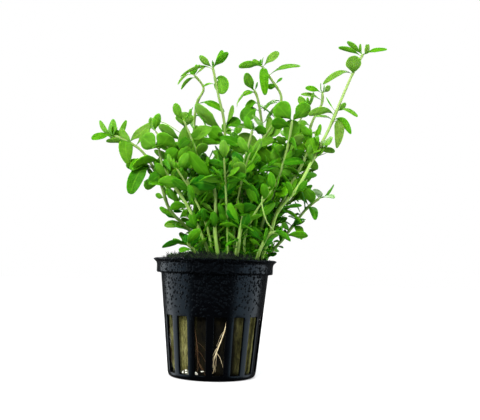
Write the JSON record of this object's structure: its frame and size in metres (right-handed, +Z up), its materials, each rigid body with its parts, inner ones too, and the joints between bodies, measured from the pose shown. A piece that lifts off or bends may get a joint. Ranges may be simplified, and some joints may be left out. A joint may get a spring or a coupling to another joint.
{
  "type": "potted bacopa stem plant",
  "caption": "Bushy aquarium stem plant with opposite oval leaves, rooted in a wool plug inside a slotted tapered net pot.",
  "frame": {"origin": "centre of the underside of the pot's floor, on the surface that the pot stands on", "axes": "+Z up along the pot's axis, -Y towards the side that the picture shows, +X to that side's right"},
  "size_m": [0.1274, 0.0837, 0.1508],
  "materials": {
    "black_plastic": "black moulded polypropylene, satin, with a fine beaded bloom on the band and upper wall",
    "stone_wool": "matted mineral fibre, olive-brown and damp, darker towards the middle",
    "root": "pale tan living root, smooth and slightly translucent",
    "stems_and_leaves": "fresh green living stem and leaf, soft sheen, light passing through the blades"
  },
  "bodies": {
    "root": {"net_pot": "black_plastic", "stone_wool_plug": "stone_wool", "root_front": "root", "root_front_left": "root", "root_left": "root", "root_back": "root", "root_right": "root", "shoot_tall_right": "stems_and_leaves", "shoot_right": "stems_and_leaves", "shoot_tall_centre": "stems_and_leaves", "shoot_centre_back": "stems_and_leaves", "shoot_right_inner": "stems_and_leaves", "shoot_tall_left": "stems_and_leaves", "shoot_thin_left": "stems_and_leaves", "shoot_left_inner": "stems_and_leaves", "shoot_arching_left": "stems_and_leaves", "shoot_left": "stems_and_leaves", "shoot_front_left": "stems_and_leaves", "shoot_front_centre": "stems_and_leaves", "shoot_low_right": "stems_and_leaves", "shoot_runner_right": "stems_and_leaves", "shoot_right_middle": "stems_and_leaves", "shoot_centre": "stems_and_leaves", "shoot_low_left": "stems_and_leaves", "young_shoot_01": "stems_and_leaves", "young_shoot_02": "stems_and_leaves", "young_shoot_03": "stems_and_leaves", "young_shoot_04": "stems_and_leaves", "young_shoot_05": "stems_and_leaves", "young_shoot_06": "stems_and_leaves", "young_shoot_07": "stems_and_leaves", "young_shoot_08": "stems_and_leaves", "young_shoot_09": "stems_and_leaves", "young_shoot_10": "stems_and_leaves", "young_shoot_11": "stems_and_leaves", "young_shoot_12": "stems_and_leaves", "young_shoot_13": "stems_and_leaves", "young_shoot_14": "stems_and_leaves", "young_shoot_15": "stems_and_leaves", "young_shoot_16": "stems_and_leaves", "young_shoot_17": "stems_and_leaves", "young_shoot_18": "stems_and_leaves"}
  },
  "joints": []
}
